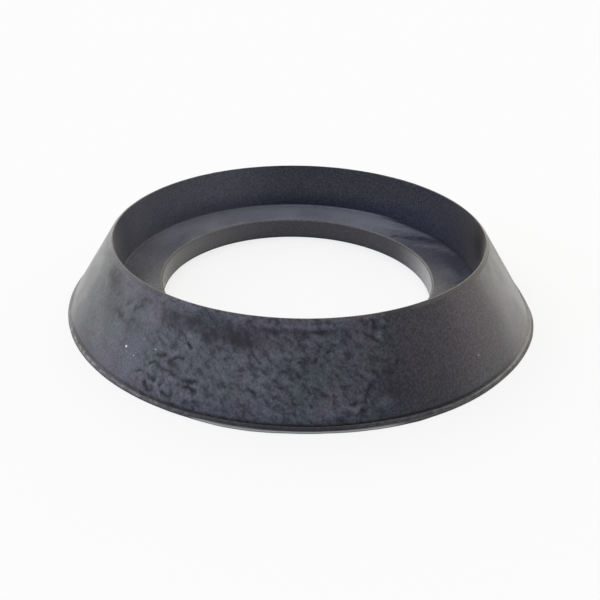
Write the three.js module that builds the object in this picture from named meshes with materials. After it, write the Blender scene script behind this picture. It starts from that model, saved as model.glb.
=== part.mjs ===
// Conical tank to bowl gasket for a close-coupled toilet, moulded in one piece of black rubber.
//
// The ring stands on its wide foot with its thin lip up. A threaded flush valve tail passes through
// the bore, the valve's back nut sits in the recess and bears on the seat, and the tapering skirt
// round the recess is squeezed between the cistern and the bowl. Every part of it is round the same
// axis, so the ring is one section turned into a closed solid. Lengths are in millimetres, Z is up,
// and the origin is on the axis at the underside of the foot.
import * as THREE from "three";

// The bore and the seat round it.
const boreDiameter = 61.2; // slips over the 59.6 mm thread of a two inch valve tail
const seatThickness = 5.1; // rubber between the underside and the seat

// The recess for the back nut.
const recessDiameter = 81; // at the seat
const recessDepth = 11.6; // from the seat up to the top of the lip
const recessDraft = 0.45; // the recess is this much larger in radius at its mouth

// The lip, the thin upper edge of the skirt. Its top is flat next to the recess, and is bevelled
// from there down to the cone.
const lipThickness = 0.9;
const lipFlatWidth = 0.3;
const lipBevelHeight = 0.5;

// The foot. A low band, the land, runs round it below the cone and stands out from it in a step.
const footDiameter = 103.6; // over the land, without the flash
const landHeight = 1;
const landDraft = 0.25; // the land is this much smaller in radius at its top
const landStep = 0.35; // from the top of the land in to the cone

// Mould flash, left where the two halves of the mould meet at the bottom of the foot.
const flashReach = 0.2;
const flashThickness = 0.3;

// Edge and corner radii.
const boreEdgeRadius = 0.4;
const seatCornerRadius = 0.4;
const lipEdgeRadius = 0.2;
const landEdgeRadius = 0.3;
const landCornerRadius = 0.15;
const flashEdgeRadius = 0.1;

// Facets round the ring, and the largest turn of one facet in a rounded corner.
const ringFacets = 96;
const cornerStep = THREE.MathUtils.degToRad(24);

const boreRadius = boreDiameter / 2;
const recessRadius = recessDiameter / 2;
const mouthRadius = recessRadius + recessDraft;
const lipRadius = mouthRadius + lipThickness; // outside, below the bevel
const lipHeight = seatThickness + recessDepth;
const landRadius = footDiameter / 2;
const landTopRadius = landRadius - landDraft;
const coneRadius = landTopRadius - landStep; // of the cone, where it meets the top of the land
const flashRadius = landRadius + flashReach;

// One corner of the section: its distance from the axis, its height, and how far it is rounded.
function corner(distance, height, radius = 0) {
  return { at: new THREE.Vector2(distance, height), radius };
}

// The section goes out along the underside from the bore, up the land and the cone, over the lip,
// down into the recess, in along the seat, and so back to the bore.
const section = [
  corner(boreRadius, 0, boreEdgeRadius),
  corner(flashRadius, 0),
  corner(flashRadius, flashThickness, flashEdgeRadius),
  corner(landRadius, flashThickness),
  corner(landTopRadius, landHeight, landEdgeRadius),
  corner(coneRadius, landHeight, landCornerRadius),
  corner(lipRadius, lipHeight - lipBevelHeight, lipEdgeRadius),
  corner(mouthRadius + lipFlatWidth, lipHeight, lipEdgeRadius),
  corner(mouthRadius, lipHeight, lipEdgeRadius),
  corner(recessRadius, seatThickness, seatCornerRadius),
  corner(boreRadius, seatThickness, boreEdgeRadius),
];

// The points that replace one corner: an arc that leaves the side before it and joins the side
// after it. The arc is kept short enough to leave part of both sides straight.
function roundedCorner({ at, radius }, before, after) {
  if (radius === 0) return [at.clone()];
  const back = before.clone().sub(at).normalize();
  const on = after.clone().sub(at).normalize();
  const halfAngle = Math.acos(THREE.MathUtils.clamp(back.dot(on), -1, 1)) / 2;
  const room = 0.45 * Math.min(at.distanceTo(before), at.distanceTo(after));
  const setback = Math.min(radius / Math.tan(halfAngle), room);
  const toCentre = back.clone().add(on).normalize();
  const centre = at.clone().addScaledVector(toCentre, setback / Math.cos(halfAngle));
  const start = at.clone().addScaledVector(back, setback);
  const turn = Math.sign(on.cross(back)) * (Math.PI - 2 * halfAngle);
  const steps = Math.max(2, Math.ceil(Math.abs(turn) / cornerStep));
  return Array.from({ length: steps + 1 }, (_, i) =>
    start.clone().rotateAround(centre, (turn * i) / steps),
  );
}

// The whole outline with its corners rounded, closed on its first point.
function outline(corners) {
  const sideTo = (i) => corners[(i + corners.length) % corners.length].at;
  const points = corners.flatMap((here, i) => roundedCorner(here, sideTo(i - 1), sideTo(i + 1)));
  return [...points, points[0].clone()];
}

// The lathe turns the section round its own Y axis, which is then brought up to Z.
const ring = new THREE.LatheGeometry(outline(section), ringFacets).rotateX(Math.PI / 2);

const blackRubber = new THREE.MeshStandardMaterial({
  color: 0x3b3d45,
  roughness: 0.6,
  metalness: 0,
});

const gasket = new THREE.Mesh(ring, blackRubber);
gasket.name = "gasket";

const part = new THREE.Group();
part.add(gasket);
export default part;
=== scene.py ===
# %% [markdown]
# # A tank to bowl gasket, moulded in black rubber
#
# This ring seals the gap between the cistern and the bowl of a close-coupled toilet. It is moulded
# in one piece: a wide foot, a cone that tapers up to a thin lip, a recess for the back nut of the
# flush valve, and a plain bore for the valve's threaded tail.
#
# The shape is simple, so the likeness is in the skin: the step at the foot, the thread of mould
# flash below it, short folds where the hot rubber met itself, fine pits, and the blue-grey bloom
# that comes to the surface of sulphur-cured rubber. The lesson builds the ring as one fine mesh,
# presses those marks into it, and then gives it its material, floor, light and camera.

import math

import bpy
import numpy as np
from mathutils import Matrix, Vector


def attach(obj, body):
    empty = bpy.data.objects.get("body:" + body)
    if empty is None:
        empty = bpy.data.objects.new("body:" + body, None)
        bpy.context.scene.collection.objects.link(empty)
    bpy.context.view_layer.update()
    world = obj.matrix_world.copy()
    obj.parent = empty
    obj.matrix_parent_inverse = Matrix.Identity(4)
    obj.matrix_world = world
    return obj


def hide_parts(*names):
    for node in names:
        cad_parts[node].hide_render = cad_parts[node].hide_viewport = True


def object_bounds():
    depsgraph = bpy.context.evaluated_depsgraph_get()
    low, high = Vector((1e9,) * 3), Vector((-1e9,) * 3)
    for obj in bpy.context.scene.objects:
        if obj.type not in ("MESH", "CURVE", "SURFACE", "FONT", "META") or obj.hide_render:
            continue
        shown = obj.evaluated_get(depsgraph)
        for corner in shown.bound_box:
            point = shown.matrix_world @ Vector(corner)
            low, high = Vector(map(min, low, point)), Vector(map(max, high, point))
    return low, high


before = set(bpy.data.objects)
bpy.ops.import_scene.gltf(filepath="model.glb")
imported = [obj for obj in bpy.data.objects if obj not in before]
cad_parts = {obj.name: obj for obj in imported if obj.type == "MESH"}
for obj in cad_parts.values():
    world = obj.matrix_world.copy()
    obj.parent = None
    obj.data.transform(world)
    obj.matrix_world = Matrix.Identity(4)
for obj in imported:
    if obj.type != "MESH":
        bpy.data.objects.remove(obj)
cad_low, cad_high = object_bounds()
MM = 0.001
print("nodes of the packed model:", list(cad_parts))
print("packed model, mm:", [round(v / MM, 2) for v in (*cad_low, *cad_high)])

# %% [markdown]
# ## The section
#
# A ring like this is drawn as half of its cross-section and turned round its axis. A Screw
# modifier could turn a curve. Here the section is a list of points in code, because the marks
# are pressed in later by moving each vertex by a worked-out depth, and that is easiest when the
# mesh is a plain grid: one direction runs round the ring, the other runs along the section.
#
# The list names each corner once, with its distance from the axis, its height, how far it is
# rounded, and how far apart the points are on the straight side that follows it.

# %% Sizes of the real ring, in millimetres
BORE_RADIUS = 30.6
SEAT_HEIGHT = 5.1
RECESS_RADIUS = 40.5
MOUTH_RADIUS = 40.95
LIP_FLAT = 0.3
LIP_RADIUS = 41.85
LIP_BEVEL = 0.5
TOP = cad_high.z / MM
FLASH_RADIUS = cad_high.x / MM
FLASH_WIDTH = 0.2
FLASH_THICKNESS = 0.3
LAND_RADIUS = FLASH_RADIUS - FLASH_WIDTH
LAND_TOP_RADIUS = 51.55
LAND_HEIGHT = 1.0
CONE_RADIUS = 51.2
print("bore, foot and height, mm:", 2 * BORE_RADIUS, round(2 * FLASH_RADIUS, 2), round(TOP, 2))

# %% Corners of the section
# The points are close where small marks are pressed in, and far apart on flat, plain sides.
FINE = 0.3
MEDIUM = 0.95
COARSE = 5.5

SECTION = [
    ("underside", BORE_RADIUS, 0, 0.4, COARSE),
    ("flash", FLASH_RADIUS, 0, 0.06, 0.1),
    ("flash top", FLASH_RADIUS, FLASH_THICKNESS, 0.1, 0.3),
    ("land", LAND_RADIUS, FLASH_THICKNESS, 0.08, 0.22),
    ("land top", LAND_TOP_RADIUS, LAND_HEIGHT, 0.3, 0.1),
    ("cone", CONE_RADIUS, LAND_HEIGHT, 0.15, FINE),
    ("bevel", LIP_RADIUS, TOP - LIP_BEVEL, 0.2, 0.25),
    ("rim", MOUTH_RADIUS + LIP_FLAT, TOP, 0.2, 0.15),
    ("recess wall", MOUTH_RADIUS, TOP, 0.2, 1.2),
    ("seat", RECESS_RADIUS, SEAT_HEIGHT, 0.4, MEDIUM),
    ("bore", BORE_RADIUS, SEAT_HEIGHT, 0.4, MEDIUM),
]
print("corners in the section:", len(SECTION))

# %% [markdown]
# ## Rounding the corners
#
# Nothing moulded is truly sharp. Each corner becomes a short arc that leaves one side and joins
# the next, as a Bevel modifier would make it, but with the size of every corner known exactly.
# A point just before and just after each arc holds the shading of the flat sides flat.

# %% An arc for one corner
ARC_STEP = math.radians(30)


def arc_points(here, before, after, radius):
    """The arc that rounds one corner."""
    back = (before - here) / np.linalg.norm(before - here)
    on = (after - here) / np.linalg.norm(after - here)
    half = math.acos(np.clip(back @ on, -1, 1)) / 2
    setback = radius / math.tan(half)
    middle = (back + on) / np.linalg.norm(back + on)
    centre = here + middle * setback / math.cos(half)
    start = here + back * setback - centre
    turn = np.sign(on[0] * back[1] - on[1] * back[0]) * (math.pi - 2 * half)
    steps = max(2, math.ceil(abs(turn) / ARC_STEP))
    angles = turn * np.arange(steps + 1) / steps
    cosines, sines = np.cos(angles), np.sin(angles)
    across = start[0] * cosines - start[1] * sines
    up = start[0] * sines + start[1] * cosines
    return centre + np.stack([across, up], 1)


square_corner = [np.array(place, float) for place in ((0, 0), (1, 0), (0, 1))]
print("points on the arc of a square corner:", len(arc_points(*square_corner, 0.1)))

# %% Points along the rounded section
# Points this far from each arc, in millimetres, hold the shading of the straight sides.
HOLD = 0.12


def section_points(corners):
    """Distances and heights along the whole section, and the name of the side that each is on."""
    places = [np.array([distance, height], float) for _, distance, height, _, _ in corners]
    rounded = []
    for i, (_, _, _, radius, _) in enumerate(corners):
        before, here, after = places[i - 1], places[i], places[(i + 1) % len(places)]
        rounded.append(arc_points(here, before, after, radius))
    points, sides = [], []
    for i, (name, _, _, _, spacing) in enumerate(corners):
        points.extend(rounded[i])
        sides.extend([name] * len(rounded[i]))
        start, end = rounded[i][-1], rounded[(i + 1) % len(corners)][0]
        length = np.linalg.norm(end - start)
        steps = max(1, round(length / spacing))
        shares = list(np.arange(1, steps) / steps)
        if length > 3 * HOLD:
            shares = [HOLD / length, *shares, 1 - HOLD / length]
        points.extend(start + (end - start) * share for share in shares)
        sides.extend([name] * len(shares))
    return np.array(points), np.array(sides)


section, sides = section_points(SECTION)
print("points in the section:", len(section))

# %% [markdown]
# ## A grid round the ring
#
# Every point of the section is repeated at each step round the axis. The steps are fine at the
# front, where the small folds and pits are, and wide on the rest, where the skin is smooth. The
# grid also needs the direction that points straight out of the skin, so that a pit goes in.

# %% Turn the section into a grid
FRONT_START = 205.0
FRONT_END = 308.0
FRONT_STEPS = 420
BACK_STEPS = 270

front_turns = np.linspace(FRONT_START, FRONT_END, FRONT_STEPS, endpoint=False)
back_turns = np.linspace(FRONT_END, FRONT_START + 360, BACK_STEPS, endpoint=False)
angle = np.radians(np.sort(np.concatenate([front_turns, back_turns]) % 360))[None, :]
distance = section[:, :1]
height = section[:, 1:] + 0 * angle
finest_step = math.radians((FRONT_END - FRONT_START) / FRONT_STEPS) * FLASH_RADIUS
print("grid:", height.shape, "triangles:", 2 * height.size)
print("finest step round the foot, mm:", round(finest_step, 2))

# %% Direction straight out of the skin
ahead = np.roll(section, -1, 0) - section
behind = section - np.roll(section, 1, 0)
along = ahead / np.linalg.norm(ahead, axis=1)[:, None]
along = along + behind / np.linalg.norm(behind, axis=1)[:, None]
along = along / np.linalg.norm(along, axis=1)[:, None]
out_distance, out_height = along[:, 1:], -along[:, :1]


def on(*names):
    """True where a point of the section is on one of the named sides."""
    return np.isin(sides, names)[:, None]


is_cone = on("cone")
print("points on the cone, from foot to lip:", int(is_cone.sum()))

# %% [markdown]
# ## Noise that closes on itself
#
# Marks that wander round the ring need a pattern with no seam where the turn starts again. This
# noise lays random values on a lattice that has a whole number of cells in one turn, and blends
# smoothly between them. Blender's own Noise texture can't be read by the code that moves the
# vertices, which is why the pattern of the larger marks is worked out here.

# %% Helpers for the pattern of the skin
# A cell has its right length at the mean radius. The pattern also moves on by 0.6 mm for each
# millimetre away from the axis, so that flat sides such as the seat have it too.
MEAN_RADIUS = 46.4
WIDTH_SHARE = 0.6
LATTICE_HEIGHT = 60


def smooth_step(value, low, high):
    """0 below low, 1 above high, and an easy curve between."""
    share = np.clip((value - low) / (high - low), 0, 1)
    return share * share * (3 - 2 * share)


def ring_noise(long_mm, tall_mm, seed):
    """Smooth noise from 0 to 1 over the grid, with cells of this length round and height up."""
    cells = max(3, round(2 * math.pi * MEAN_RADIUS / long_mm))
    rows = math.ceil(LATTICE_HEIGHT / tall_mm) + 3
    lattice = np.random.default_rng(seed).random((rows, cells))
    u = angle / (2 * math.pi) * cells
    v = (height + distance * WIDTH_SHARE) / tall_mm
    left, low = np.floor(u).astype(int), np.floor(v).astype(int)
    across, up = smooth_step(u - left, 0, 1), smooth_step(v - low, 0, 1)
    left, right = left % cells, (left + 1) % cells
    low, high = low % rows, (low + 1) % rows
    bottom = lattice[low, left] * (1 - across) + lattice[low, right] * across
    top = lattice[high, left] * (1 - across) + lattice[high, right] * across
    return bottom * (1 - up) + top * up


def cloudy_noise(long_mm, tall_mm, seed, layers=3):
    """Several sizes of noise on top of each other, each half as large and half as strong."""
    total, weight = 0, 0
    for layer in range(layers):
        share = 0.5**layer
        total = total + share * ring_noise(long_mm * share, tall_mm * share, seed + layer)
        weight += share
    return total / weight


clouds = cloudy_noise(7, 5, 41)
small_clouds = cloudy_noise(2.4, 1.8, 44)
cloud_share = smooth_step(clouds, 0.25, 0.75)
print("clouds from", round(float(clouds.min()), 2), "to", round(float(clouds.max()), 2))

# %% [markdown]
# ## Areas of the ring
#
# Most marks belong to one stretch of the ring. Directions are in degrees: 0 is the right, -90 the
# front and 180 the left. A stretch has its own soft width at each end, because an even fade on
# both sides looks painted. Weight painting could do the same by hand, but numbers can be checked
# against the real ring and changed one at a time.

# %% Helpers for areas
def turn_away(direction):
    """How far each step of the grid is from a direction in degrees, as an angle."""
    return (angle - math.radians(direction) + math.pi) % (2 * math.pi) - math.pi


def turn_between(start, end, soft_start, soft_end):
    """1 between two directions round the ring, in degrees, and soft over the given widths."""
    away = np.degrees(turn_away((start + end) / 2))
    half = (end - start) / 2
    return smooth_step(away, -half - soft_start, -half) * (1 - smooth_step(away, half, half + soft_end))


def areas(places):
    """Soft stretches added up: both directions, both soft widths, and a strength."""
    return sum(strength * turn_between(*place) for *place, strength in places)


def between(value, pairs):
    """Straight lines from pair to pair, each pair a place and its value there."""
    return np.interp(value, *zip(*pairs))


print("steps of the grid in the front quarter:", round(float(turn_between(-135, -45, 1, 1).sum())))

# %% [markdown]
# ## Where the skin is rough and where it is smooth
#
# The cone isn't the same all round. From the left of the front to a little right of its middle
# the mould left a mottled, pitted skin with folds in it. Right of a sharp, crumbling edge it is
# smooth. The half that the front view hides gets the same two kinds of skin, in other places.

# %% Zones of the cone
# Each pair is a height and the direction of the edge there, or how soft the edge is there.
EDGE_TURNS = [(1.6, -72), (4.5, -74.5), (9, -71), (14, -66.7), (16.7, -66.5)]
EDGE_SOFTNESS = [(1.6, 1.0), (6.5, 1.2), (9, 3.5), (16, 2.5)]
EDGE_BAYS = 5
EDGE_CRUMBS = 3

crumble = EDGE_BAYS * (ring_noise(3, 1.6, 47) - 0.5) + EDGE_CRUMBS * (ring_noise(1.2, 0.8, 48) - 0.5)
past_edge = np.degrees(angle) - 360 - between(height, EDGE_TURNS) - crumble
past_edge = smooth_step(past_edge / between(height, EDGE_SOFTNESS), -1, 1)
front_rough = turn_between(-123, -60, 8, 3) * (1 - past_edge)
back_rough = turn_between(40, 122, 16, 12) * smooth_step(clouds, 0.25, 0.6)
is_rim = on("rim", "bevel")
is_outside = is_cone | is_rim
rough = np.maximum(front_rough, back_rough) * is_outside
print("share of the cone with rough skin:", round(float(rough[is_cone[:, 0]].mean()), 2))

# %% [markdown]
# ## Folds, pits and cracks in the cone
#
# Where two fronts of hot rubber met in the mould and didn't weld, the skin has short wavy folds,
# each with a slightly raised rim. Trapped air left pits, and the edge of the rough skin crumbled
# into cracks and one nick under the lip. They could be sculpted by hand. Here each is a short
# line drawn on the skin from one end to the other, so that it can be moved by changing a number,
# and noise makes the line wavy and uneven.

# %% A helper for short wavy lines
LINE_WOBBLE = 1.3
wobble_around = LINE_WOBBLE * (cloudy_noise(1.5, 1.1, 91, layers=2) - 0.5)
wobble_up = LINE_WOBBLE * (cloudy_noise(1.3, 1.0, 95, layers=2) - 0.5)
line_strength = smooth_step(ring_noise(1.0, 0.7, 98), 0.0, 0.5)


def lines(places, across=height, widen=1.0):
    """Short wavy lines: direction and height of the start, the same of the end, and half width."""
    total = 0 * height
    for start_turn, start_height, end_turn, end_height, half_width in places:
        around = turn_away(start_turn) * distance + wobble_around
        up = across - start_height + wobble_up
        run = math.radians(end_turn - start_turn) * distance
        rise = end_height - start_height
        share = np.clip((around * run + up * rise) / (run**2 + rise**2), 0, 1)
        off = (around - share * run) ** 2 + (up - share * rise) ** 2
        total = np.maximum(total, np.exp(-off / (half_width * widen) ** 2))
    return total * line_strength


print("lines wander up to", round(float(np.abs(wobble_up).max()), 2), "mm up or down")

# %% Draw the folds
# Each fold is one stroke or two that meet: start, end and half width, as the helper reads them.
FOLDS = [
    (-114.3, 5.15, -112.2, 5.3, 0.4),
    (-112.2, 5.3, -110.6, 5.6, 0.3),
    (-114.8, 4.1, -112.6, 4.2, 0.27),
    (-112.6, 4.2, -110.9, 4.05, 0.34),
    (-114.0, 6.5, -112.8, 6.45, 0.34),
    (-122.7, 7.8, -120.6, 7.9, 0.34),
    (-118.7, 7.3, -115.4, 8.0, 0.3),
    (-118.5, 7.2, -117.2, 6.5, 0.4),
    (-123.6, 5.5, -120.6, 6.3, 0.26),
    (-119.9, 5.9, -115.9, 5.5, 0.28),
    (-127.2, 3.7, -125.3, 4.1, 0.26),
    (-124.4, 4.1, -121.4, 3.8, 0.32),
    (-123.4, 2.4, -121.9, 2.0, 0.45),
    (-119.6, 3.5, -119.2, 3.2, 0.34),
    (-118.5, 1.9, -115.8, 2.3, 0.28),
    (-115.0, 10.6, -113.8, 10.1, 0.24),
]
RIM_WIDENING = 2.4
folds = lines(FOLDS) * is_cone
fold_rims = lines(FOLDS, widen=RIM_WIDENING) * (1 - folds) * is_cone
print("strokes that make up the folds:", len(FOLDS))

# %% Draw the pits and the cracks
PITS = [
    (-100.0, 11.2, -97.3, 10.0, 0.25),
    (-88.2, 6.9, -86.4, 5.8, 0.27),
    (-94.1, 6.6, -93.0, 6.1, 0.25),
    (-90.0, 4.5, -88.4, 3.8, 0.24),
    (-89.4, 8.3, -88.8, 8.0, 0.32),
    (-89.1, 10.1, -88.3, 9.9, 0.25),
    (-86.0, 10.2, -85.0, 10.6, 0.28),
    (-82.8, 11.3, -82.0, 11.5, 0.26),
    (-85.3, 13.1, -84.2, 12.6, 0.24),
    (-99.8, 6.1, -98.2, 5.4, 0.28),
    (-84.4, 5.05, -83.2, 5.1, 0.2),
    (-82.0, 5.0, -81.2, 5.1, 0.22),
    (-94.0, 3.8, -93.1, 3.65, 0.22),
]
CRACKS = [
    (-68.2, 14.4, -67.2, 12.4, 0.36),
    (-74.0, 14.2, -70.6, 13.0, 0.26),
    (-70.6, 16.0, -70.4, 15.0, 0.3),
    (-74.6, 4.9, -73.4, 6.5, 0.42),
    (-75.2, 4.0, -75.0, 4.8, 0.24),
    (-72.7, 8.3, -71.9, 8.0, 0.32),
    (-70.6, 8.2, -68.1, 7.9, 0.22),
    (-67.5, 8.4, -66.5, 9.2, 0.3),
    (-77.4, 2.4, -75.1, 2.8, 0.3),
    (-78.0, 3.9, -76.2, 3.9, 0.24),
]
pits = np.maximum(lines(PITS), lines(CRACKS)) * is_cone
print("large pits:", len(PITS), "cracks:", len(CRACKS))

# %% Press them in
# Depths are in millimetres. The two waves keep light from lying quite evenly on the cone.
FOLD_DEPTH = 0.2
FOLD_RIM = 0.12
PIT_DEPTH = 0.12
CLOUD_WAVE = 0.06
LUMP_WAVE = 0.05

outward = FOLD_RIM * fold_rims - FOLD_DEPTH * folds - PIT_DEPTH * pits
outward = outward + CLOUD_WAVE * (clouds - 0.5) * is_cone + LUMP_WAVE * (small_clouds - 0.5) * rough
print("deepest fold or pit, mm:", round(-float(outward.min()), 2))

# %% [markdown]
# ## The step at the foot and its crease
#
# A small step stands between the cone and the upright land below it. It wanders up and down,
# because the two halves of the mould never met quite level, and a dark crease runs along it that
# is deepest at the front. It could be pulled up and down by hand with proportional editing. The
# grid has rows enough there already, so code lifts them, and the lift fades out towards the flash
# below and a little way up the cone.

# %% The wandering step and its crease
# Each pair is a direction from 0 to 360 degrees and how far the step is lifted there.
STEP_LIFTS = [
    (0, -0.2),
    (60, 0.1),
    (120, 0.15),
    (180, -0.22),
    (240, -0.4),
    (262, -0.22),
    (292, -0.12),
    (310, -0.3),
    (335, -0.26),
    (360, -0.2),
]
STEP_RIPPLE = 0.12
STEP_START = 0.35
STEP_END = 3
CREASE_HEIGHT = LAND_HEIGHT + 0.1
CREASE_WIDTH = 0.24
CREASE_DEPTH = 0.03
FRONT_CREASE_DEPTH = 0.19

step_lift = between(np.degrees(angle), STEP_LIFTS) + STEP_RIPPLE * (cloudy_noise(22, 60, 51) - 0.5)
foot_share = 1 - smooth_step(height, LAND_HEIGHT, STEP_END)
near_step = smooth_step(height, STEP_START, LAND_HEIGHT) * foot_share * (distance > LIP_RADIUS)
lift = step_lift * near_step
crease = is_cone * np.exp(-(((height - CREASE_HEIGHT) / CREASE_WIDTH) ** 2))
outward = outward - crease * (CREASE_DEPTH + FRONT_CREASE_DEPTH * turn_between(-150, -45, 14, 14))
print("lift of the step, mm:", round(float(lift.min()), 2), "to", round(float(lift.max()), 2))

# %% [markdown]
# ## The lip
#
# The lip is 0.9 mm thick and soft, so its edge waves a little. A Displace modifier could do this
# to the whole ring. Here only the top of the lip is lowered, by a slow noise that is long round
# the ring and even across it.

# %% Wave the lip
LIP_WAVE = 0.1
WAVE_REACH = 1.2

near_top = smooth_step(height, TOP - WAVE_REACH, TOP) * (distance > RECESS_RADIUS)
lip_drop = LIP_WAVE * cloudy_noise(15, 60, 54) * near_top
lift = lift - lip_drop
print("lip lowered by up to, mm:", round(float(lip_drop.max()), 2))

# %% [markdown]
# ## The flash
#
# Below the land the rubber crept out between the halves of the mould. At the front that flash is
# a thread that stands clear of the land. At the right it is wider, and the land and the foot of
# the cone bulge out with it. Elsewhere it is only a fine line. An extra strip of mesh could be
# laid round the foot, but the real flash is one skin with the ring, so its own edge is moved.

# %% How far the flash reaches
# Each pair is a direction from -180 to 180 degrees and how far the flash comes out there.
FLASH_REACH = [
    (-122, 0),
    (-112, 0.05),
    (-104, 0.3),
    (-98, 0.3),
    (-92, 0.05),
    (-84, 0),
    (-77, 0.1),
    (-70, 0.25),
    (-65, 0.3),
    (-60, 0.2),
    (-50, 0.2),
    (-40, 0.15),
    (-30, 0.35),
    (-20, 0.6),
    (-12, 0.55),
    (-8, 0.35),
    (-5, 0.12),
    (0, 0),
]
FLASH_UNEVEN = 0.1
foot_turn = (np.degrees(angle) + 180) % 360 - 180
flash_right = turn_between(-58, -8, 6, 8)
flash_reach = between(foot_turn, FLASH_REACH)
flash_reach = flash_reach - FLASH_UNEVEN * cloudy_noise(4, 60, 61) * (1 - flash_right)
print("flash reaches up to, mm:", round(float(flash_reach.max()), 2))

# %% Move the foot
LAND_FOLLOWS = 0.8
CONE_FOLLOWS = 0.5
THREAD_GAP = 0.2
LAND_RIPPLE = 0.07
LEDGE_END = LAND_RADIUS + 0.1

is_land = on("land", "land top")
is_flash_top = on("flash top")
is_flash = on("flash") | is_flash_top
is_ledge = is_flash_top & (distance < LEDGE_END)
follow = LAND_FOLLOWS * is_land + CONE_FOLLOWS * foot_share * is_cone
outward_foot = flash_reach * (is_flash + follow * flash_right)
outward_foot = outward_foot - THREAD_GAP * turn_between(-107, -72, 5, 5) * (is_land | is_ledge)
outward_foot = outward_foot + LAND_RIPPLE * (ring_noise(0.9, 0.5, 65) - 0.5) * is_land
print("foot moved, mm:", round(float(outward_foot.min()), 2), "to", round(float(outward_foot.max()), 2))

# %% Move the grid
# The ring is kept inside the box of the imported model, whose flash is its widest edge.
new_distance = distance + outward * out_distance + outward_foot
new_height = np.clip(height + outward * out_height + lift, 0, TOP)
widest = FLASH_RADIUS / np.maximum(np.abs(np.cos(angle)), np.abs(np.sin(angle)))
new_distance = np.minimum(new_distance, widest)
print("movement of the skin, mm:", round(float(outward.min()), 2), "to", round(float(outward.max()), 2))

# %% [markdown]
# ## Bloom on the cone
#
# Bloom is sulphur and wax that came to the surface, a thin grey-blue film. It is cloudy on the
# mottled skin and thin on the smooth skin. The same number also paints light: the cone is painted
# paler at its left and its right end, where the light grazes it. It could be one Noise texture in
# the material. It is worked out on the vertices instead, as a number from 0 to 1 that the material
# turns into colour, so that it can follow the folds and the edge of the rough skin.

# %% A helper for soft spots
def marks(places, across=height):
    """Soft spots on the skin: direction in degrees, height, half length, half width, strength."""
    total = 0 * height
    for direction, middle, half_length, half_width, strength in places:
        around = turn_away(direction) * distance / half_length
        up = (across - middle) / half_width
        total = total + strength * np.exp(-(around**2) - up**2)
    return total


print("middle of a spot of strength 1:", round(float(marks([(-90, 8, 5, 5, 1)]).max()), 2))

# %% Bloom on the cone
CONE_SPOTS = [
    (-107, 7.5, 7, 4.5, 0.14),
    (-81.5, 3.5, 4, 2, 0.12),
    (-113.5, 11.6, 2.4, 1.0, 0.32),
    (-117, 5.5, 6, 3, 0.06),
    (-113.3, 5.85, 1.6, 0.22, 0.22),
    (-113, 4.65, 1.8, 0.22, 0.25),
    (-120.5, 3.3, 1.3, 0.3, 0.25),
    (-117.2, 4.7, 1.8, 0.5, 0.16),
    (-121.5, 8.5, 1.6, 0.22, 0.2),
    (-112.5, 2.7, 2.2, 0.45, 0.2),
    (-130, 12, 2.2, 3.5, 0.14),
    (-129.5, 6, 3.2, 4.5, 0.16),
    (-143, 13.5, 2.2, 1.6, 0.1),
    (-183, 13, 5, 4, 0.2),
    (-14, 2.2, 9, 2.4, 0.3),
    (-97, 7.5, 2.5, 2.5, 0.1),
    (-94, 11.2, 2.6, 0.8, 0.12),
    (-69.8, 13.5, 0.9, 0.6, 0.35),
    (-70.8, 3.6, 1.5, 0.8, 0.25),
    (-77.5, 3.1, 1.2, 0.6, 0.25),
    (-90, 15.7, 9, 0.4, 0.18),
]
# These stretches paint light on the cone: paler on the flanks and the left of the front.
PAINTED_LIGHT_AREAS = [(-150, -122, 10, 10, 0.07), (-42, -18, 14, 16, 0.16), (-198, -164, 18, 12, 0.14)]
ROUGH_BLOOM = 0.13
ROUGH_CLOUDS = 0.1
SMOOTH_BLOOM = 0.07
SMOOTH_CLOUDS = 0.05
FOLD_BLOOM = 0.08

slow_clouds = smooth_step(cloudy_noise(10, 8, 75), 0.3, 0.8)
bloom_and_light = rough * (ROUGH_BLOOM + ROUGH_CLOUDS * cloud_share) + marks(CONE_SPOTS) * is_outside
bloom_and_light = bloom_and_light + is_cone * (1 - rough) * (SMOOTH_BLOOM + SMOOTH_CLOUDS * slow_clouds)
bloom_and_light = bloom_and_light + is_cone * areas(PAINTED_LIGHT_AREAS) + FOLD_BLOOM * fold_rims
print("bloom on the cone:", round(float(bloom_and_light[is_cone[:, 0]].mean()), 2))

# %% Bloom on the left flank
FLANK_CLOUDS = 0.22
FLANK_CLEAR = 0.08
FLANK_END = 0.1

flank_clouds = smooth_step(cloudy_noise(4.5, 2.6, 85, layers=4), 0.3, 0.7)
left_flank = turn_between(-172, -127, 10, 4) * is_outside
left_end = turn_between(-136, -124, 6, 4)
bloom_and_light = bloom_and_light + left_flank * (FLANK_CLOUDS * flank_clouds - FLANK_CLEAR + FLANK_END * left_end)
print("strongest bloom on the outside:", round(float((bloom_and_light * is_outside).max()), 2))

# %% [markdown]
# ## Bloom in the recess
#
# Nothing rubs the seat, so bloom is thickest there, most of all at the back. Towards the wall it
# is raised further as painted light, which lifts the seat where the wall shades it.
# A few pale and dark scuffs cross it between the right and the back, where a tool or a fingernail
# slid over it. The scuffs use the same wavy lines as the folds, measured by distance from the
# axis in place of height.

# %% Bloom on the seat
PALE_SPOTS = [
    (2, 35.2, 3.0, 1.4, 0.2),
    (133, 32.5, 3, 1.5, 0.15),
    (95, 31.5, 12, 0.6, 0.12),
]
BARE_SPOTS = [
    (11, 38.0, 5.5, 2.6, 0.25),
    (123, 33.0, 2.0, 1.6, 0.2),
    (146, 34.0, 2.6, 1.6, 0.18),
]
SEAT_AREAS = [(58, 170, 38, 20, 0.3), (62, 135, 34, 30, 0.37)]
LEAST_BLOOM = 0.12
# Painted light: the bloom rises towards the wall, lifting the seat where the wall shades it.
WALL_SIDE_LIGHT = 0.45
SEAT_MEAN = 0.92
SEAT_CLOUDS = 0.6

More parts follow.
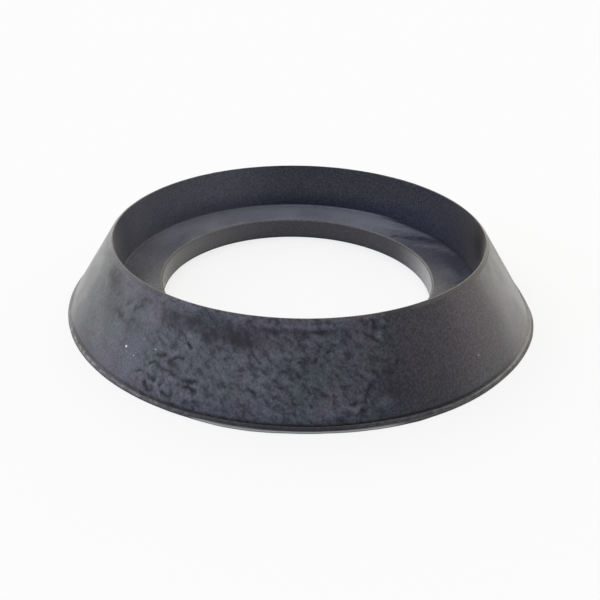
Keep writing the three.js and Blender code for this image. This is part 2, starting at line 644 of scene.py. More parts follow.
is_seat = on("seat")
seat_bloom_and_light = LEAST_BLOOM + areas(SEAT_AREAS)
seat_bloom_and_light = seat_bloom_and_light * (1 + WALL_SIDE_LIGHT * smooth_step(distance, BORE_RADIUS, RECESS_RADIUS))
seat_bloom_and_light = seat_bloom_and_light * (SEAT_MEAN + SEAT_CLOUDS * (cloudy_noise(7, 4, 77, layers=4) - 0.5))
seat_bloom_and_light = seat_bloom_and_light + marks(PALE_SPOTS, distance) - marks(BARE_SPOTS, distance)
print("bloom on the seat, before its scuffs:", round(float(seat_bloom_and_light[is_seat[:, 0]].mean()), 2))

# %% Scuffs on the seat, and the wall of the recess
PALE_SCUFFS = [
    (33.2, 39.6, 43.5, 37.2, 0.9),
    (43.5, 37.2, 50.5, 35.4, 0.7),
    (16.8, 39.6, 23.5, 37.2, 0.9),
    (23.5, 37.2, 29.2, 33.6, 0.8),
]
DARK_SCUFFS = [
    (31.0, 38.0, 36.8, 34.4, 0.9),
    (36.8, 34.4, 40.5, 32.6, 0.6),
    (26.0, 39.6, 29.5, 38.0, 0.8),
]
PALE_SCUFF = 0.3
DARK_SCUFF = 0.45
MOST_BLOOM = 0.97
EDGE_BLOOM = 0.6
WALL_BLOOM = 0.07
WALL_AREAS = [(122, 160, 32, 16, 0.3)]

is_bore = on("bore")
is_recess = on("recess wall")
bore_edge = is_bore * smooth_step(height, SEAT_HEIGHT - 0.5, SEAT_HEIGHT - 0.2)
dark_scuffs = lines(DARK_SCUFFS, distance)
seat_bloom_and_light = seat_bloom_and_light + PALE_SCUFF * lines(PALE_SCUFFS, distance) - DARK_SCUFF * dark_scuffs
bloom_and_light = bloom_and_light + (is_seat + EDGE_BLOOM * bore_edge) * MOST_BLOOM * np.clip(seat_bloom_and_light, 0, 1)
bloom_and_light = bloom_and_light + is_recess * (WALL_BLOOM + areas(WALL_AREAS))
print("bloom on the seat:", round(float(bloom_and_light[is_seat[:, 0]].mean()), 2))

# %% [markdown]
# ## Stains
#
# Under the lip at the front, and on the left flank, the film is missing in brown-purple patches
# and the bare rubber shows. They could be painted on an image, which would have to go with the
# script. Here each patch is a soft spot, broken up by two sizes of noise so that its edge frays
# and the film shows through it in flecks.

# %% Stains on the cone
STAINS = [
    (-111, 13.7, 5.0, 1.5, 1.1),
    (-101, 13.1, 4.0, 1.2, 0.85),
    (-105, 12.4, 5.0, 0.9, 0.5),
    (-134.0, 13.1, 1.8, 0.9, 0.9),
    (-136.5, 12.3, 2.2, 1.0, 0.6),
    (-139.5, 10.3, 1.9, 0.9, 0.7),
    (-137, 11.2, 3.0, 1.2, 0.5),
    (-134.5, 10.2, 3.6, 1.2, 0.5),
    (-142.5, 12.8, 1.0, 0.6, 0.4),
    (-131, 14.6, 1.5, 0.5, 0.5),
    (-150.3, 14.4, 2.2, 0.9, 0.75),
    (-147.5, 13.6, 3.0, 1.4, 0.55),
    (-148, 15.6, 3.5, 0.5, 0.45),
    (-141.5, 15.2, 1.8, 0.4, 0.6),
    (-150, 12, 2.6, 1.0, 0.45),
    (-146, 9.5, 2.0, 0.6, 0.3),
    (-145.5, 4.1, 1.2, 0.5, 0.4),
    (-148.5, 3.6, 0.8, 0.4, 0.3),
    (-140, 7, 1.6, 0.8, 0.2),
    (-120.5, 14.0, 3.5, 1.4, 0.6),
    (-123.5, 12.9, 0.7, 1.0, 0.7),
    (-119, 7.2, 2.2, 0.9, 0.5),
    (-122, 7.6, 1.4, 0.5, 0.4),
    (-121.5, 5.9, 1.6, 0.6, 0.4),
    (-117.5, 5.7, 2.0, 0.4, 0.4),
    (-123.0, 3.9, 1.8, 0.4, 0.35),
    (60, 9, 8, 3, 0.5),
    (95, 13, 9, 2, 0.5),
    (20, 6, 6, 2, 0.5),
]
STAIN_STRENGTH = 1.3
PATCH_SHARE = 0.5
FLECK_SHARE = 0.7
MOST_STAIN = 0.9

patches = PATCH_SHARE * smooth_step(cloudy_noise(2.6, 1.6, 87), 0.25, 0.7)
flecks = FLECK_SHARE * smooth_step(cloudy_noise(0.9, 0.6, 91), 0.3, 0.75)
stain = np.clip(STAIN_STRENGTH * marks(STAINS) * (patches + flecks) * is_cone, 0, MOST_STAIN)
print("stains:", len(STAINS), "strongest:", round(float(stain.max()), 2))

# %% [markdown]
# ## Painted shade
#
# Painted shade darkens the colour where the skin is sunk or turned from the light: the folds, the
# pits, the crease of the step, the front of the land and of the flash, the corner between seat and
# wall, and the right side of the recess wall. Shadow alone would leave these too pale, because
# rubber this dark has little light to lose. A number from 0 to 1 therefore darkens the colour there.

# %% Painted shade on the cone
# These spots are navy painted shade along the folds, near the cracks, at the foot of the front and below
# the lip.
NAVY_SHADE_MARKS = [
    (-81, 1.9, 1.2, 0.45, 0.9),
    (-68.5, 5.0, 1.8, 2.2, 0.5),
    (-83.2, 14.85, 2.6, 0.35, 0.6),
    (-92, 14.8, 7, 0.4, 0.5),
    (-122.5, 2.3, 2.0, 0.5, 0.4),
    (-113, 5.3, 1.7, 0.4, 0.35),
    (-112.8, 4.15, 1.7, 0.3, 0.3),
    (-112, 2.2, 3, 0.7, 0.3),
]
FOLD_SHADE = 0.75
PIT_SHADE = 0.95

painted_shade = np.maximum(FOLD_SHADE * folds, PIT_SHADE * pits) + marks(NAVY_SHADE_MARKS) * is_cone
print("mean shade of the cone:", round(float(painted_shade[is_cone[:, 0]].mean()), 3))

# %% Painted shade, dust and painted light round the foot
# Each row is a direction, the painted shade in the crease, the painted shade on the land, and the
# land's dust and painted light.
FOOT_MARKS = [
    (-180, 0, 0, 0.3),
    (-150, 0.05, 0, 0.4),
    (-140, 0.1, 0, 0.36),
    (-130, 0.25, 0, 0.3),
    (-122, 0.5, 0, 0.26),
    (-115, 0.75, 0.1, 0.14),
    (-108, 0.8, 0.3, 0.04),
    (-101, 0.85, 0.3, 0.03),
    (-94, 1, 0.35, 0.01),
    (-80, 1, 0.35, 0.02),
    (-73, 0.95, 0.15, 0.1),
    (-66, 0.85, 0.1, 0.1),
    (-59, 0.7, 0, 0.2),
    (-52, 0.5, 0, 0.2),
    (-45, 0.25, 0, 0.12),
    (-30, 0, 0, 0.3),
]
CREASE_SHADE_WIDTH = 0.5
UNDERCUT_SHADE = 0.95

foot_turns, crease_shade, land_shade, land_dust_and_light = zip(*FOOT_MARKS)
near_crease = is_cone * np.exp(-(((height - LAND_HEIGHT) / CREASE_SHADE_WIDTH) ** 2))
painted_shade = np.maximum(painted_shade, near_crease * np.interp(foot_turn, foot_turns, crease_shade))
painted_shade = np.maximum(painted_shade, is_land * np.interp(foot_turn, foot_turns, land_shade))
painted_shade = np.maximum(painted_shade, on("flash") * UNDERCUT_SHADE * turn_between(-103, -91, 3, 2))
print("darkest place in the crease:", round(float((painted_shade * near_crease).max()), 2))

# %% Painted shade in the recess
CORNER_START = RECESS_RADIUS - 0.8
CORNER_END = RECESS_RADIUS - 0.3
CORNER_LEAST = 0.3
CORNER_AREAS = [(-25, 48, 10, 14, 0.7)]
CORNER_SHADE = 0.85
WALL_SHADE = 0.6
WALL_MARKS = [(0, 14, 3.5, 4, 0.6)]

corner = is_seat * smooth_step(distance, CORNER_START, CORNER_END) * (CORNER_LEAST + areas(CORNER_AREAS))
right_wall = is_recess * turn_between(-10, 12, 6, 20)
painted_shade = np.maximum(painted_shade, CORNER_SHADE * corner)
painted_shade = np.clip(painted_shade + WALL_SHADE * right_wall + is_recess * marks(WALL_MARKS), 0, 1)
print("mean shade of the whole skin:", round(float(painted_shade.mean()), 3))

# %% [markdown]
# ## Tints
#
# Neither the rubber nor its bloom has one colour. In the recess, and low and high on the front of
# the cone, the bare rubber is painted bluer as cold shade. The bloom is lilac in some clouds and a
# greenish slate in others. One colour ramp couldn't keep these apart, so three more numbers say how
# much of each tint there is.

# %% Blue, lilac and slate
BLUE_SEAT_AREAS = [(150, 200, 20, 10, 0.5), (-5, 35, 10, 10, 0.4)]
SLATE_MARKS = [
    (-77, 9.5, 8, 4, 0.6),
    (-138, 11, 9, 4, 0.7),
    (-152, 7, 10, 9, 0.7),
    (-172, 8, 12, 9, 0.8),
    (-12, 10, 10, 8, 0.7),
]
WALL_BLUE = 0.95
WALL_TOP_LESS = 0.65
SEAT_BLUE = 0.5
LOW_BLUE = 0.6
HIGH_BLUE = 0.3
SEAT_SLATE = 0.1
SLATE_CLOUDS = 0.6

wall_top = smooth_step(height, 9, 14) * turn_between(10, 150, 10, 20)
cold_shade_tint = is_recess * (WALL_BLUE - WALL_TOP_LESS * wall_top) + is_seat * (SEAT_BLUE + areas(BLUE_SEAT_AREAS))
blue_heights = LOW_BLUE * (1 - smooth_step(height, 1.5, 5)) + HIGH_BLUE * smooth_step(height, 13, 15)
cold_shade_tint = cold_shade_tint + is_cone * blue_heights * turn_between(-135, -72, 20, 10)
slate_clouds = SLATE_CLOUDS * smooth_step(cloudy_noise(6, 4, 83), 0.5, 0.75) * is_cone
slate = np.clip(marks(SLATE_MARKS) * is_outside + SEAT_SLATE * is_seat + slate_clouds, 0, 1)
lilac = smooth_step(cloudy_noise(6, 5, 81), 0.35, 0.65) * ~(is_seat | is_recess)
lilac = np.maximum(lilac, is_cone * turn_between(-66, -22, 4, 12))
print("mean blue, slate, lilac:", [round(float(tint.mean()), 2) for tint in (cold_shade_tint, slate, lilac)])

# %% [markdown]
# ## Dust and worn edges
#
# A pale grey layer lies on the land and the flash, on the rim, on both ends of the bore wall, on the
# flanks of the cone and a little on the seat. It is partly dust and partly painted light: highlights
# along the thread of flash, the top of the land and the rim, paler flanks where the light grazes the
# cone, and the painted reflection of the white floor on both ends of the bore wall. It lies over
# bloom and stains, so its number stays apart from theirs, and the material can lay it on after them.

# %% Dust and painted light on the foot and the cone
GRIT_LEAST = 0.2
GRIT_RANGE = 1.6
# The thread of flash at the front and the top edge of the land at the right carry painted highlights.
THREAD_HIGHLIGHT = 0.9
LAND_EDGE = LAND_HEIGHT - 0.3
LAND_EDGE_HIGHLIGHT = 0.35
# The flanks are painted paler where the light grazes them; on the right it grows towards the lip.
LEFT_FLANK_LIGHT = 0.1
LEFT_LIGHT_CLOUDS = 0.16
RIGHT_HIGHLIGHT = 0.2
RIGHT_HIGHLIGHT_FOR_MM = 0.01
RIGHT_LEAST = 0.55
RIGHT_HIGHLIGHT_CLOUDS = 0.75
# Painted light lifts the foot of the cone just above the crease, at the left and at the right.
CREASE_LIFT = 0.12
CREASE_LIFT_HEIGHT = 0.8
CREASE_LIFT_AREAS = [(-190, -140, 5, 10, CREASE_LIFT), (-28, -6, 8, 8, CREASE_LIFT)]
# The rim carries a painted highlight, except from the left round to the front.
RIM_HIGHLIGHT = 0.08

# On the land this layer is painted light, least at the front, broken up by grit.
land_grit = GRIT_LEAST + GRIT_RANGE * ring_noise(0.6, 0.4, 66)
dust_and_light = is_land * np.interp(foot_turn, foot_turns, land_dust_and_light) * land_grit
dust_and_light = dust_and_light + is_flash_top * THREAD_HIGHLIGHT * turn_between(-108, -72, 4, 6)
dust_and_light = dust_and_light + is_land * (height > LAND_EDGE) * LAND_EDGE_HIGHLIGHT * turn_between(-45, -10, 8, 8)
left_light = LEFT_FLANK_LIGHT + LEFT_LIGHT_CLOUDS * flank_clouds
dust_and_light = dust_and_light + is_outside * turn_between(-198, -164, 18, 8) * left_light
right_highlight = (RIGHT_HIGHLIGHT + RIGHT_HIGHLIGHT_FOR_MM * height) * (RIGHT_LEAST + RIGHT_HIGHLIGHT_CLOUDS * flank_clouds)
dust_and_light = dust_and_light + is_cone * turn_between(-22, -7, 14, 15) * right_highlight
low_cone = is_cone * np.exp(-(((height - LAND_HEIGHT) / CREASE_LIFT_HEIGHT) ** 2))
dust_and_light = dust_and_light + low_cone * areas(CREASE_LIFT_AREAS)
dust_and_light = dust_and_light + is_rim * RIM_HIGHLIGHT * (1 - turn_between(-200, -60, 20, 3))
print("mean dust on the land:", round(float(dust_and_light[is_land[:, 0]].mean()), 2))

# %% Painted reflection on the bore, and dust on the seat
# The bore wall is painted a little paler all round and much paler at both ends: painted reflection of the
# white floor.
BORE_REFLECTION = 0.055
BORE_END_REFLECTIONS = [(-14, 6, 25, 32, 0.72), (165, 210, 75, 30, 0.33)]
EDGE_CLEAR = 0.7
SEAT_DUST = 0.09

dust_and_light = dust_and_light + is_bore * (BORE_REFLECTION + areas(BORE_END_REFLECTIONS)) * (1 - EDGE_CLEAR * bore_edge)
seat_middle = turn_between(62, 118, 16, 16) * smooth_step(distance, 33, 38)
dust_and_light = np.clip(dust_and_light + is_seat * SEAT_DUST * seat_middle, 0, 1)
print("mean dust on the bore:", round(float(dust_and_light[is_bore[:, 0]].mean()), 2))

# %% [markdown]
# ## How glossy each place is
#
# Moulded rubber is satin: roughness about 0.3 where the mould was polished, and more where the
# skin is cloudy, dusty or sunk. Stains, scuffs and sunk places shine less from every side, and a
# higher roughness can't say that, because a rough surface still turns pale where it is seen
# edge-on. So two numbers are kept: satin is the roughness, and the matt number says how much of the
# shine is gone. The matt shader is dark too, so in the sunk places and high on the right of the
# recess wall the matt number also paints shade.

# %% Satin and matt places
# The two spots are a direction, a height, a half length, a half width and a strength.
SATIN = 0.3
SATIN_CLOUDS = 0.08
WALL_SATIN = 0.2
BORE_POLISH = 0.08
LAND_SATIN = 0.2
END_SATIN = 0.3
END_SPOT = (3, 10, 5, 9, 1)
CORNER_SATIN = 0.3
STAIN_MATT = 0.15
LEFT_STAIN_MATT = 0.25
SUNK_SHADE_MATT = 0.1
SCUFF_MATT = 0.25
# This spot is painted shade high on the right of the recess wall.
WALL_SHADE_SPOT = (-1, 12.5, 7, 5, 0.75)

satin = SATIN + SATIN_CLOUDS * cloud_share * is_cone + WALL_SATIN * right_wall - BORE_POLISH * is_bore
satin = satin + LAND_SATIN * is_land + END_SATIN * marks([END_SPOT]) * is_cone + CORNER_SATIN * corner
matt_and_shade = stain * (STAIN_MATT + LEFT_STAIN_MATT * turn_between(-160, -128, 5, 4)) + SUNK_SHADE_MATT * painted_shade * is_cone
matt_and_shade = matt_and_shade + is_recess * marks([WALL_SHADE_SPOT]) + SCUFF_MATT * is_seat * dark_scuffs
matt_and_shade = np.clip(matt_and_shade, 0, 1)
print("mean roughness:", round(float(satin.mean()), 2), "mean matt share:", round(float(matt_and_shade.mean()), 3))

# %% [markdown]
# ## Build the mesh
#
# The grid becomes vertices and four-sided faces, closed in both directions. The numbers that the
# material needs are stored on the vertices as attributes, and Blender blends them over the faces.
# Painted image maps would need a UV map and a file, and these need neither.

# %% Make the ring
def ring_mesh(name):
    """The moved grid as a closed mesh of four-sided faces."""
    rows, columns = new_height.shape
    x, y = new_distance * np.cos(angle), new_distance * np.sin(angle)
    vertices = np.stack([x, y, new_height], -1).reshape(-1, 3) * MM
    row, column = np.meshgrid(np.arange(rows), np.arange(columns), indexing="ij")
    next_row, next_column = (row + 1) % rows, (column + 1) % columns
    corners = [(row, column), (row, next_column), (next_row, next_column), (next_row, column)]
    faces = np.stack([r * columns + c for r, c in corners], -1).reshape(-1, 4)
    ring = bpy.data.meshes.new(name)
    ring.from_pydata(vertices.tolist(), [], faces.tolist())
    ring.polygons.foreach_set("use_smooth", np.ones(len(faces), bool))
    ring.update()
    return ring


mesh = ring_mesh("rubber_ring")
gasket = bpy.data.objects.new("rubber_ring", mesh)
bpy.context.scene.collection.objects.link(gasket)
print("vertices:", len(mesh.vertices), "faces:", len(mesh.polygons))

# %% Store the numbers for the material
stored = {
    "mottle": rough,
    "bloom_and_light": bloom_and_light,
    "stain": stain,
    "painted_shade": painted_shade,
    "dust_and_light": dust_and_light,
    "satin": satin,
    "cold_shade_tint": cold_shade_tint,
    "lilac": lilac,
    "slate": slate,
    "matt_and_shade": matt_and_shade,
}
for name, values in stored.items():
    attribute = mesh.attributes.new(name, "FLOAT", "POINT")
    attribute.data.foreach_set("value", np.broadcast_to(values, height.shape).astype("f4").ravel())
    print("attribute", name, "mean", round(float(np.mean(values)), 3))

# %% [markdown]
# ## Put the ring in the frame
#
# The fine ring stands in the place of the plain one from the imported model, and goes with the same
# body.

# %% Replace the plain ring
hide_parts("gasket")
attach(gasket, "root")

# %% [markdown]
# ## Colour and node helpers
#
# Colours are picked as sRGB hex values, as on a screen, and Cycles works in linear light, so one
# function turns them over. Another adds a shader node with its settings and its links, so that a
# material reads from top to bottom like a recipe.

# %% Helpers for materials
def colour(hex_value):
    """A linear RGBA colour from an sRGB hex value."""
    shares = [int(hex_value[i : i + 2], 16) / 255 for i in (1, 3, 5)]
    linear = [s / 12.92 if s <= 0.04045 else ((s + 0.055) / 1.055) ** 2.4 for s in shares]
    return (*linear, 1.0)


def add(tree, kind, inputs=None, out=None, **settings):
    """Adds a node with its settings and inputs, set or linked, and returns one of its outputs."""
    node = tree.nodes.new(kind)
    for name, value in settings.items():
        setattr(node, name, value)
    for name, value in (inputs or {}).items():
        socket = next(s for s in node.inputs if s.enabled and name in (s.name, s.identifier))
        if isinstance(value, bpy.types.NodeSocket):
            tree.links.new(value, socket)
        else:
            socket.default_value = value
    return next((s for s in node.outputs if s.enabled and out in (None, s.name)), None)


def new_material(name):
    """An empty material and its node tree."""
    material = bpy.data.materials.new(name)
    material.use_nodes = True
    material.node_tree.nodes.clear()
    return material, material.node_tree


print("mid grey in linear light:", round(colour("#808080")[0], 3))

# %% [markdown]
# ## Moulded vulcanised rubber
#
# The ring is compression-moulded rubber, cured with sulphur. Carbon black makes it nearly black,
# so what the eye sees is the skin of the mould: a half-matt gloss that turns pale where the
# surface is seen edge-on, and the thin bloom in clouds. Principled BSDF gives the first from its
# IOR and roughness. The bloom and the marks are further colours, laid over the black one by the
# numbers on the vertices and by fine noise in the object's own coordinates, which has no seam.

# %% The rubber's own colours and the numbers on its vertices
# Rubber has an IOR of about 1.5. The bare rubber is a cold black; the navy is painted cold shade,
# used in the recess and on the front of the cone.
RUBBER_IOR = 1.5
BLACK_RUBBER = colour("#26262d")
COLD_SHADE_RUBBER = colour("#20243a")

rubber, tree = new_material("moulded_vulcanised_rubber_with_bloom")
at = {name: add(tree, "ShaderNodeAttribute", out="Fac", attribute_name=name) for name in stored}
bare = add(
    tree, "ShaderNodeMix", {"Factor": at["cold_shade_tint"], "A": BLACK_RUBBER, "B": COLD_SHADE_RUBBER}, data_type="RGBA"
)
print("numbers read from the vertices:", len(at))

# %% [markdown]
# ## Leaning pits and the film between them
#
# The mottled skin is covered in pits that are too small to draw one by one. They lean to one
# side as they go up, from the way the rubber flowed. A Noise texture gives them: its high values
# are the pits, and its low ones are where the bloom is thickest. Before it is read, space is
# twisted about the ring's axis, so that the pits lean and still close round the ring.

# %% Leaning pits
# The lean is in millimetres round for each millimetre up. The pits are about 1.3 mm apart.
LEAN = 0.6
PIT_MM = 1.3

place = add(tree, "ShaderNodeTexCoord", out="Object")
level = add(tree, "ShaderNodeSeparateXYZ", {"Vector": place}, out="Z")
twist = add(
    tree, "ShaderNodeMath", {"Value": level, "Value_001": LEAN / MEAN_RADIUS / MM}, operation="MULTIPLY"
)
leaning = add(tree, "ShaderNodeVectorRotate", {"Vector": place, "Angle": twist}, rotation_type="Z_AXIS")
pattern = add(
    tree,
    "ShaderNodeTexNoise",
    {"Vector": leaning, "Scale": 1 / (PIT_MM * MM), "Detail": 3, "Roughness": 0.5},
    out="Fac",
)
small_pits = add(tree, "ShaderNodeMapRange", {"Value": pattern, "From Min": 0.53, "From Max": 0.78})
small_pits = add(
    tree, "ShaderNodeMath", {"Value": small_pits, "Value_001": at["mottle"]}, operation="MULTIPLY"
)
print("pits to a centimetre:", round(10 / PIT_MM))

# %% The film between the pits
# The bloom is up to 0.15 thicker between the pits and 0.1 thinner in them.
FILM = {"From Min": 0.62, "From Max": 0.3, "To Min": -0.1, "To Max": 0.15}

film = add(tree, "ShaderNodeMapRange", {"Value": pattern, **FILM})
veil = add(
    tree,
    "ShaderNodeMath",
    {"Value": film, "Value_001": at["mottle"], "Value_002": at["bloom_and_light"]},
    operation="MULTIPLY_ADD",
)
print("film between the pits, thickest:", FILM["To Max"])

# %% [markdown]
# ## Grain
#
# The whole skin carries the fine grain of a blasted mould. It is what keeps the smooth parts
# from looking like plastic. It makes the bloom a little thinner and thicker from point to point,
# and paints shade into the hollows of the grain.

# %% Grain in the film and in the shade
# The mould's real grain is about 0.1 mm, less than half a pixel of the render, so it is drawn
# coarser, at 0.45 mm.
GRAIN_MM = 0.45
GRAIN_FILM = {"From Min": 0.35, "From Max": 0.65, "To Min": -0.1, "To Max": 0.1}
GRAIN_HOLLOW_SHADE = {"From Min": 0.6, "From Max": 0.3, "To Min": 0.0, "To Max": 0.15}
SMALL_PIT_SHADE = 0.8

grain_size = {"Scale": 1 / (GRAIN_MM * MM), "Detail": 2}
grain = add(tree, "ShaderNodeTexNoise", {"Vector": place, **grain_size}, out="Fac")
grain_film = add(tree, "ShaderNodeMapRange", {"Value": grain, **GRAIN_FILM})
veil = add(tree, "ShaderNodeMath", {"Value": veil, "Value_001": grain_film}, operation="ADD")
veil = add(tree, "ShaderNodeClamp", {"Value": veil})
sunk_shade = add(
    tree,
    "ShaderNodeMath",
    {"Value": small_pits, "Value_001": SMALL_PIT_SHADE, "Value_002": at["painted_shade"]},
    operation="MULTIPLY_ADD",
)
grain_shade = add(tree, "ShaderNodeMapRange", {"Value": grain, **GRAIN_HOLLOW_SHADE})
sunk_shade = add(tree, "ShaderNodeMath", {"Value": sunk_shade, "Value_001": grain_shade}, operation="ADD")
print("grain, mm:", GRAIN_MM)

# %% [markdown]
# ## Colour, layer on layer
#
# The colours go on one over the other: the bare rubber with its painted cold shade, the bloom in
# its three tints, the stains, painted shade in sunk places, and dust with painted light on top. Each
# layer is a Mix node whose factor is the share of that layer, so one can be changed without the others.

# %% Bloom, stains, painted shade, and dust with painted light
# The bloom colours also carry the painted light on the flanks and towards the seat's wall.
BLOOM = colour("#848590")
LILAC_BLOOM = colour("#857983")
SLATE_BLOOM = colour("#727f7a")
STAIN = colour("#1c1417")
# A near-black navy, painted as shade into the pits, the folds, the crease and the corners.
SHADE_BLACK = colour("#0b0b14")
# Pale grey for dust and for painted light.
PALE_DUST_AND_LIGHT = colour("#a8a6a2")

haze = add(tree, "ShaderNodeMix", {"Factor": at["lilac"], "A": BLOOM, "B": LILAC_BLOOM}, data_type="RGBA")
haze = add(tree, "ShaderNodeMix", {"Factor": at["slate"], "A": haze, "B": SLATE_BLOOM}, data_type="RGBA")
base = add(tree, "ShaderNodeMix", {"Factor": veil, "A": bare, "B": haze}, data_type="RGBA")
for share, layer in ((at["stain"], STAIN), (sunk_shade, SHADE_BLACK), (at["dust_and_light"], PALE_DUST_AND_LIGHT)):
    base = add(tree, "ShaderNodeMix", {"Factor": share, "A": base, "B": layer}, data_type="RGBA")
# In the printed list, dirt is the painted shade, and dust is dust with painted light.
print("layers of colour: bare rubber, bloom, stain, dirt, dust")

# %% [markdown]
# ## Specks of lint
#
# Four white specks of lint cling to the cone. They are flat on the skin and a few tenths of a
# millimetre wide, so they are drawn as small discs of colour where the skin is close enough to
# a point. The point is found from its direction and its height on the cone's straight side.

# %% Specks on the cone
# Each row is a direction, a height and a radius in millimetres.
SPECKS = [(-132.3, 6.35, 0.19), (-129.1, 5.65, 0.07), (-123.5, 8.1, 0.09), (-44.2, 5.5, 0.09)]
SPECK_EDGE = 1.5
LINT = colour("#e4e6e4")

for direction, speck_height, speck_radius in SPECKS:
    share = (speck_height - LAND_HEIGHT) / (TOP - LIP_BEVEL - LAND_HEIGHT)
    reach = CONE_RADIUS + share * (LIP_RADIUS - CONE_RADIUS)
    turn = math.radians(direction)
    middle = (reach * math.cos(turn) * MM, reach * math.sin(turn) * MM, speck_height * MM)
    away = add(
        tree,
        "ShaderNodeVectorMath",
        {"Vector": place, "Vector_001": middle},
        out="Value",
        operation="DISTANCE",
    )
    edge = {"From Min": speck_radius * MM, "From Max": SPECK_EDGE * speck_radius * MM}
    speck = add(tree, "ShaderNodeMapRange", {"Value": away, **edge, "To Min": 1.0, "To Max": 0.0})
    base = add(tree, "ShaderNodeMix", {"Factor": speck, "A": base, "B": LINT}, data_type="RGBA")
print("specks:", len(SPECKS))

# %% [markdown]
# ## Gloss and relief
#
# Roughness comes from the satin number, and rises in the pits. A Bump node adds the pits and the
# grain to the light, where they are too small for the mesh. Sheen gives the pale velvety rim
# that a dry, bloomed rubber shows where it is seen edge-on.

# %% The shader of the rubber
PIT_ROUGHNESS = 0.25
PIT_RELIEF = -1.5
RELIEF_MM = 0.05
RELIEF_STRENGTH = 0.5
SHEEN = {"Sheen Weight": 0.3, "Sheen Roughness": 0.4, "Sheen Tint": colour("#e9e6e2")}

roughness = add(
    tree,
    "ShaderNodeMath",
    {"Value": sunk_shade, "Value_001": PIT_ROUGHNESS, "Value_002": at["satin"]},
    operation="MULTIPLY_ADD",
)
relief = add(
    tree,
    "ShaderNodeMath",
    {"Value": small_pits, "Value_001": PIT_RELIEF, "Value_002": grain},
    operation="MULTIPLY_ADD",
)
bump = add(
    tree, "ShaderNodeBump", {"Height": relief, "Strength": RELIEF_STRENGTH, "Distance": RELIEF_MM * MM}
)
shine = {"Base Color": base, "Roughness": roughness, "IOR": RUBBER_IOR, "Normal": bump}
skin = add(tree, "ShaderNodeBsdfPrincipled", {**shine, **SHEEN})
print("relief, mm:", RELIEF_MM)

# %% Matt places
# The second shader is rubber with its skin gone: dark, rough and nearly without reflection. In the
# sunk places and high on the right of the recess wall it is painted shade.
HOLLOW = {"Roughness": 0.6, "Specular IOR Level": 0.15, "IOR": RUBBER_IOR}

hollow = add(tree, "ShaderNodeBsdfPrincipled", {"Base Color": STAIN, **HOLLOW})
skin = add(tree, "ShaderNodeMixShader", {"Fac": at["matt_and_shade"], "Shader": skin, "Shader_001": hollow})
add(tree, "ShaderNodeOutputMaterial", {"Surface": skin})
mesh.materials.append(rubber)
print("shader nodes in the rubber:", len(tree.nodes))

# %% [markdown]
# ## A white floor
#
# The ring lies on white paper. A plain diffuse floor under soft light renders light grey, so for
# the camera alone most of it is plain white: Light Path's Is Camera Ray mixes in an emission.
# The rest of the mix keeps the soft shadow that ties the ring to the ground, and the ring itself
# is lit and reflected by the plain paper.

# %% The floor
# The floor lies a hair below the ring, so that the two flat faces don't share a plane.
FLOOR_SIZE = 3.0
FLOOR_GAP = 0.03
WHITE_SHARE = 0.75
PAPER = colour("#f7f7f7")
WHITE = colour("#ffffff")

floor_material, tree = new_material("white_paper_floor")
paper = add(tree, "ShaderNodeBsdfDiffuse", {"Color": PAPER})
white = add(tree, "ShaderNodeEmission", {"Color": WHITE, "Strength": 1.0})
seen = add(tree, "ShaderNodeLightPath", out="Is Camera Ray")
seen = add(tree, "ShaderNodeMath", {"Value": seen, "Value_001": WHITE_SHARE}, operation="MULTIPLY")
paper = add(tree, "ShaderNodeMixShader", {"Fac": seen, "Shader": paper, "Shader_001": white})
add(tree, "ShaderNodeOutputMaterial", {"Surface": paper})

half = FLOOR_SIZE / 2
floor_corners = [(x * half, y * half, -FLOOR_GAP * MM) for x, y in ((-1, -1), (1, -1), (1, 1), (-1, 1))]
floor_mesh = bpy.data.meshes.new("floor")
floor_mesh.from_pydata(floor_corners, [], [(0, 1, 2, 3)])
floor_mesh.materials.append(floor_material)
floor = bpy.data.objects.new("floor", floor_mesh)
bpy.context.scene.collection.objects.link(floor)
print("floor, m:", FLOOR_SIZE)

# %% [markdown]
# ## A light tent
#
# Black rubber shows mostly what it reflects, so it is lit as a photographer would light it, from
# a pale tent all round. Area lamps would leave their own shapes in the gloss. The world is used
# instead: it is brighter towards the back left and dimmer towards the front right, slightly warm
# at the back and cold at the front. The camera sees plain white behind the floor.

# %% The world
# Each side is a direction of length 1. The strengths are those of the dimmest and brightest side.
BRIGHT_SIDE = (-0.6, 0.8, 0.0)
WARM_SIDE = (0.45, 0.89, 0.0)
DIMMEST = 0.3
BRIGHTEST = 1.9
COLD_LIGHT = colour("#e4eaff")
WARM_LIGHT = colour("#fff9e8")

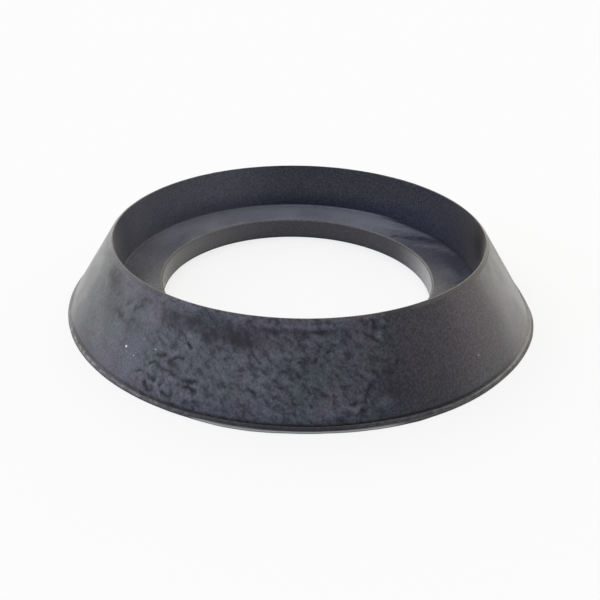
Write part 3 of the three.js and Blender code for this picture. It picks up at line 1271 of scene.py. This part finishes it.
sky = bpy.data.worlds.new("light_tent")
sky.use_nodes = True
tree = sky.node_tree
tree.nodes.clear()
toward = add(tree, "ShaderNodeTexCoord", out="Generated")
facing, yellower = [
    add(
        tree,
        "ShaderNodeVectorMath",
        {"Vector": toward, "Vector_001": side},
        out="Value",
        operation="DOT_PRODUCT",
    )
    for side in (BRIGHT_SIDE, WARM_SIDE)
]
limits = {"From Min": -1.0, "From Max": 1.0, "To Min": DIMMEST, "To Max": BRIGHTEST}
strength = add(tree, "ShaderNodeMapRange", {"Value": facing, **limits})
warm = add(tree, "ShaderNodeMapRange", {"Value": yellower, "From Min": -0.5, "From Max": 0.5})
tint = add(tree, "ShaderNodeMix", {"Factor": warm, "A": COLD_LIGHT, "B": WARM_LIGHT}, data_type="RGBA")
tent = add(tree, "ShaderNodeBackground", {"Color": tint, "Strength": strength}, out="Background")
backdrop = add(tree, "ShaderNodeBackground", {"Color": WHITE, "Strength": 1.0}, out="Background")
seen = add(tree, "ShaderNodeLightPath", out="Is Camera Ray")
both = add(tree, "ShaderNodeMixShader", {"Fac": seen, "Shader": tent, "Shader_001": backdrop})
add(tree, "ShaderNodeOutputWorld", {"Surface": both})
bpy.context.scene.world = sky
print("strength of the tent:", DIMMEST, "to", BRIGHTEST)

# %% [markdown]
# ## Camera
#
# The camera looks down at about 28 degrees from a hand's length away, which is near even for so
# small an object, so the front of the ring looks clearly larger than its back. The ring's centre
# lies off the lens axis, and a small shift of the frame brings the ring to its place in the
# picture. Place, turn and lens were fitted to the outlines of foot, lip, seat and bore.

# %% The camera
# The place is in metres, the turn in degrees and the lens in millimetres.
CAMERA_PLACE = (0.0, -0.16605, 0.08909)
CAMERA_TURN = (67.339, 0.4921, 3.7143)
LENS = 48.1933
SENSOR = 36
SHIFT = (0.0898, -0.1448)
NEAREST = 0.005

camera_data = bpy.data.cameras.new("camera")
camera_data.sensor_width = SENSOR
camera_data.lens = LENS
camera_data.shift_x, camera_data.shift_y = SHIFT
camera_data.clip_start = NEAREST
camera = bpy.data.objects.new("camera", camera_data)
camera.location = CAMERA_PLACE
camera.rotation_euler = [math.radians(turn) for turn in CAMERA_TURN]
bpy.context.scene.collection.objects.link(camera)
bpy.context.scene.camera = camera
bpy.context.scene.view_settings.view_transform = "Standard"
print("camera to the ring's middle, mm:", round(math.hypot(*CAMERA_PLACE) / MM))
